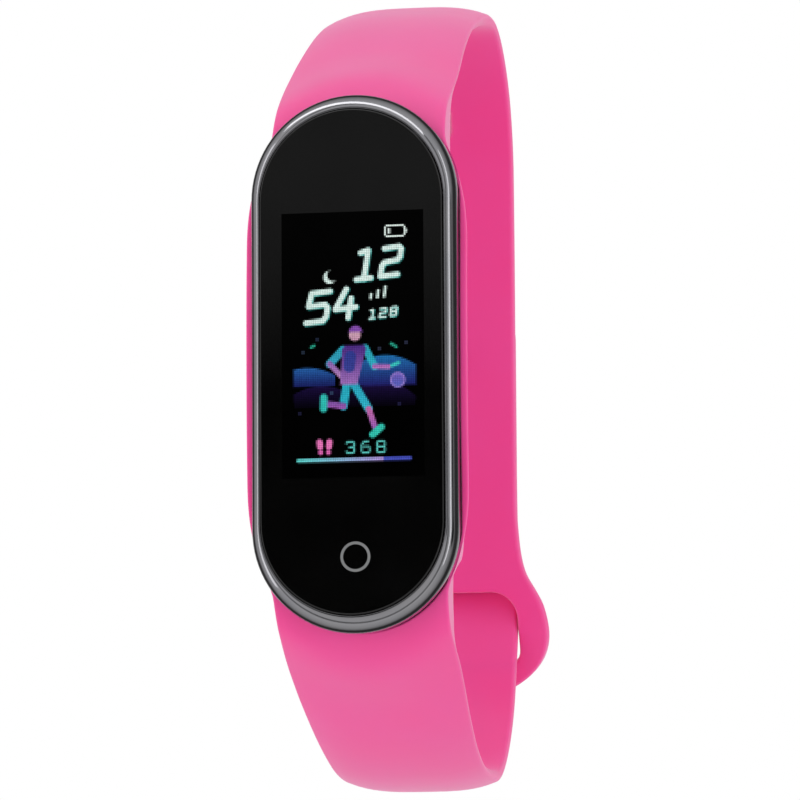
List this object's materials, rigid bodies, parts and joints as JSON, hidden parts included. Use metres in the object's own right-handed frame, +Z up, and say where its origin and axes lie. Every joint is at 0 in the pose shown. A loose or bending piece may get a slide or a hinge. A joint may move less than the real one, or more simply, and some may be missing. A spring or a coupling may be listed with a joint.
{
  "type": "fitness tracker band",
  "caption": "Pill-shaped wrist tracker with a glass front, held in a soft strap that closes with a slotted head and a push-through stud.",
  "frame": {"origin": "axis of the wrist, midway along the pod's length, 27 mm behind the cover glass", "axes": "+X across the strap's width, -Y out of the display, +Z up along the pod's long side"},
  "size_m": [0.0202, 0.0483, 0.0705],
  "materials": {
    "silicone": "matte",
    "gunmetal": "polished",
    "steel": "satin",
    "glass": "polished",
    "black_plastic": "satin",
    "rubber": "matte",
    "board": "solder mask",
    "foil": "satin",
    "amber_film": "film",
    "gold": "plated",
    "led": "clear",
    "screen": "gloss"
  },
  "bodies": {
    "strap": {"strap_cradle": "silicone", "strap_hole_side": "silicone", "strap_stud_side": "silicone"},
    "tail": {"strap_tail": "silicone", "stud_cap": "steel", "stud_pin": "steel"},
    "tracker_pod": {"bezel_ring": "gunmetal", "cover_glass": "glass", "glass_gasket": "rubber", "display_panel": "screen", "display_backlight": "foil", "display_ribbon": "amber_film", "touch_key_pad": "amber_film", "inner_frame": "black_plastic", "main_board": "board", "processor_chip": "black_plastic", "memory_chip": "black_plastic", "motion_sensor_chip": "black_plastic", "charger_chip": "black_plastic", "antenna_chip": "foil", "radio_chip": "black_plastic", "radio_shield": "foil", "battery_cell": "foil", "battery_tab_board": "board", "battery_foam": "rubber", "motor_case": "steel", "motor_lid": "steel", "sensor_board": "board", "green_led_1": "led", "green_led_2": "led", "photodiode": "black_plastic", "light_wall": "rubber", "sensor_window": "glass", "charge_contact_1": "gold", "charge_contact_2": "gold", "seal_ring": "rubber", "rear_case": "black_plastic", "frame_screw_1": "steel", "frame_screw_2": "steel"},
    "motor_rotor": {"motor_rotor": "steel"}
  },
  "joints": [
    {"name": "tail_flex", "type": "hinge", "parent": "strap", "child": "tail", "pos_m": [0, 0.0203, -0.01355], "axis": [-1, 0, 0], "range_deg": [0, 50], "stiffness_Nm_per_rad": 0.0025},
    {"name": "pod_release", "type": "slide", "parent": "strap", "child": "tracker_pod", "axis": [0, -1, 0], "range_m": [0, 0.014]},
    {"name": "rotor_spin", "type": "hinge", "parent": "tracker_pod", "child": "motor_rotor", "pos_m": [0, -0.0208, -0.0136], "axis": [0, 1, 0], "continuous": true}
  ]
}
